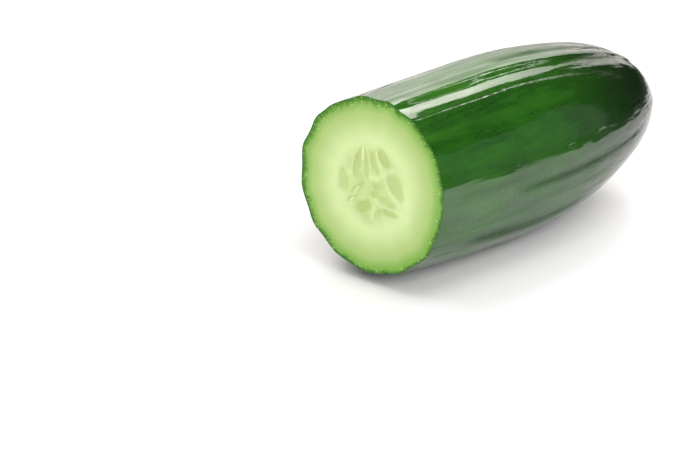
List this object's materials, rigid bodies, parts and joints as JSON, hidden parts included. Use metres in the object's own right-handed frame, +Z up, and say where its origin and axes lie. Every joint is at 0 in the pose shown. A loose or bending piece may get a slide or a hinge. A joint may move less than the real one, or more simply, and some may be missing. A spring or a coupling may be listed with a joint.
{
  "type": "cut cucumber",
  "caption": "Large end piece of a long green cucumber: ribbed glossy skin, round whole end, and a cut face with pale flesh and a core of seeds.",
  "frame": {"origin": "centre of the bounding box, on the surface the piece lies on", "axes": "+X along the cucumber from the cut face to the whole far end, +Z up"},
  "size_m": [0.115, 0.0524, 0.0526],
  "materials": {
    "skin": "glossy waxy rind",
    "flesh": "moist, translucent",
    "seed": "wet, translucent"
  },
  "bodies": {
    "root": {"cucumber": "skin"}
  },
  "joints": []
}
